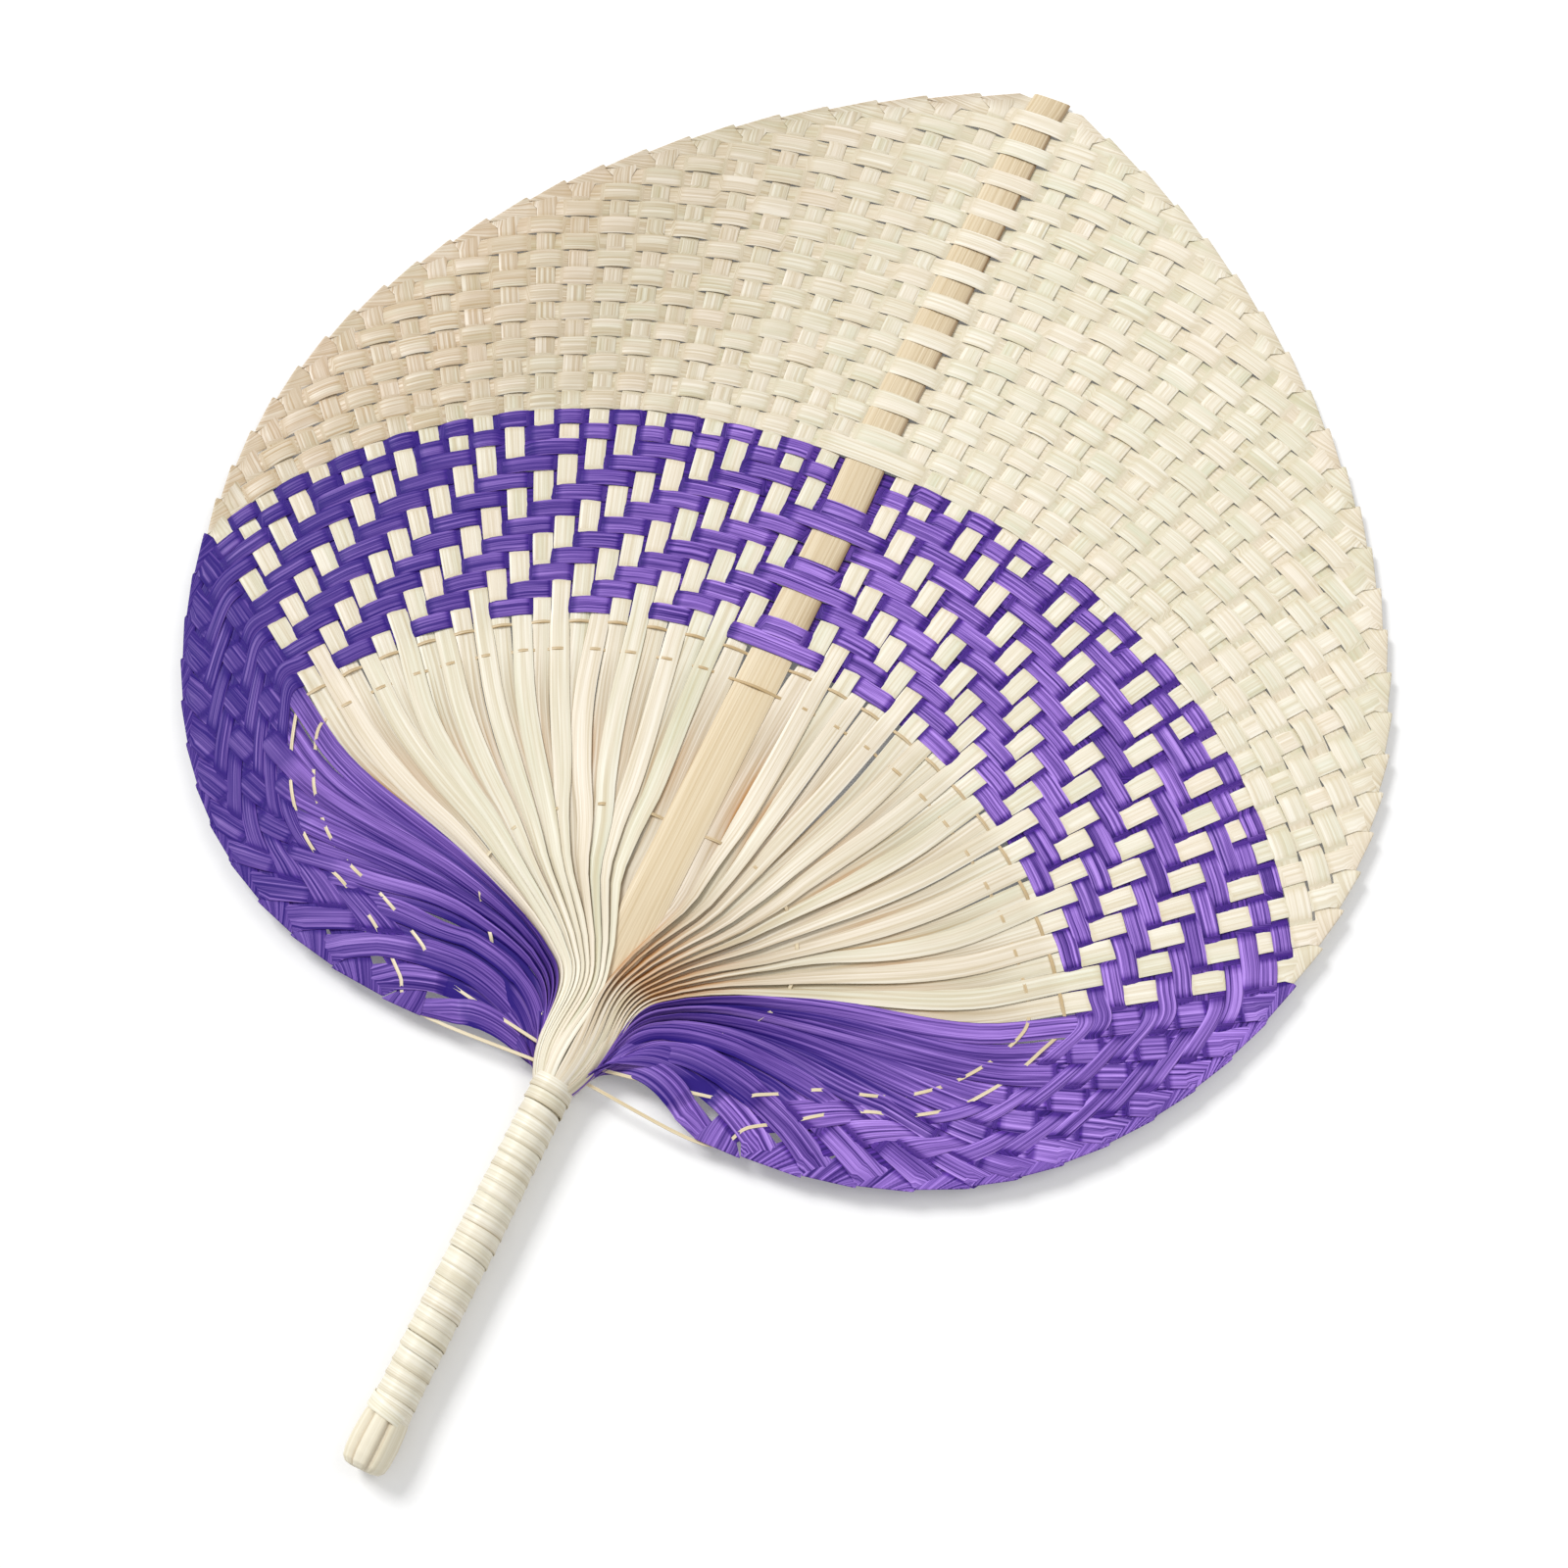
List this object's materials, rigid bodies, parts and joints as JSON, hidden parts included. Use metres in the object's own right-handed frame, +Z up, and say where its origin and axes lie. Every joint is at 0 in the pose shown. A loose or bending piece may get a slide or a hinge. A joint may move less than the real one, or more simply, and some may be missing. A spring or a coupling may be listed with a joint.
{
  "type": "woven bamboo hand fan",
  "caption": "Rigid heart-shaped hand fan plaited from natural and purple bamboo splints, with a flat spine and a short handle bound with a bamboo strip.",
  "frame": {"origin": "under the middle of the bounding box, on the ground the fan lies on", "axes": "+Y from the butt of the handle to the tip of the leaf, +Z up from the face the fan lies on, +X to the right of the leaf"},
  "size_m": [0.2988, 0.4, 0.0105],
  "materials": {
    "natural_bamboo": "bare split bamboo",
    "purple_bamboo": "dyed split bamboo, satin",
    "spine_bamboo": "bare split bamboo",
    "bundle_bamboo": "bare split bamboo",
    "binding_bamboo": "shaved bamboo skin",
    "strand_bamboo": "split bamboo strand"
  },
  "bodies": {
    "root": {"purple_splint_01": "purple_bamboo", "purple_splint_02": "purple_bamboo", "purple_splint_03": "purple_bamboo", "purple_splint_04": "purple_bamboo", "purple_splint_05": "purple_bamboo", "purple_splint_06": "purple_bamboo", "purple_splint_07": "purple_bamboo", "purple_splint_08": "purple_bamboo", "purple_splint_09": "purple_bamboo", "purple_splint_10": "purple_bamboo", "purple_splint_11": "purple_bamboo", "purple_splint_12": "purple_bamboo", "purple_splint_13": "purple_bamboo", "natural_splint_01": "natural_bamboo", "natural_splint_02": "natural_bamboo", "natural_splint_03": "natural_bamboo", "natural_splint_04": "natural_bamboo", "natural_splint_05": "natural_bamboo", "natural_splint_06": "natural_bamboo", "natural_splint_07": "natural_bamboo", "natural_splint_08": "natural_bamboo", "natural_splint_09": "natural_bamboo", "natural_splint_10": "natural_bamboo", "natural_splint_11": "natural_bamboo", "natural_splint_12": "natural_bamboo", "natural_splint_13": "natural_bamboo", "natural_splint_14": "natural_bamboo", "natural_splint_15": "natural_bamboo", "natural_splint_16": "natural_bamboo", "natural_splint_17": "natural_bamboo", "natural_splint_18": "natural_bamboo", "natural_splint_19": "natural_bamboo", "natural_splint_20": "natural_bamboo", "natural_splint_21": "natural_bamboo", "natural_splint_22": "natural_bamboo", "natural_splint_23": "natural_bamboo", "spine": "spine_bamboo", "neck_bundle": "bundle_bamboo", "handle_binding": "binding_bamboo", "strand_outer": "strand_bamboo", "strand_middle": "strand_bamboo", "strand_inner": "strand_bamboo"}
  },
  "joints": []
}
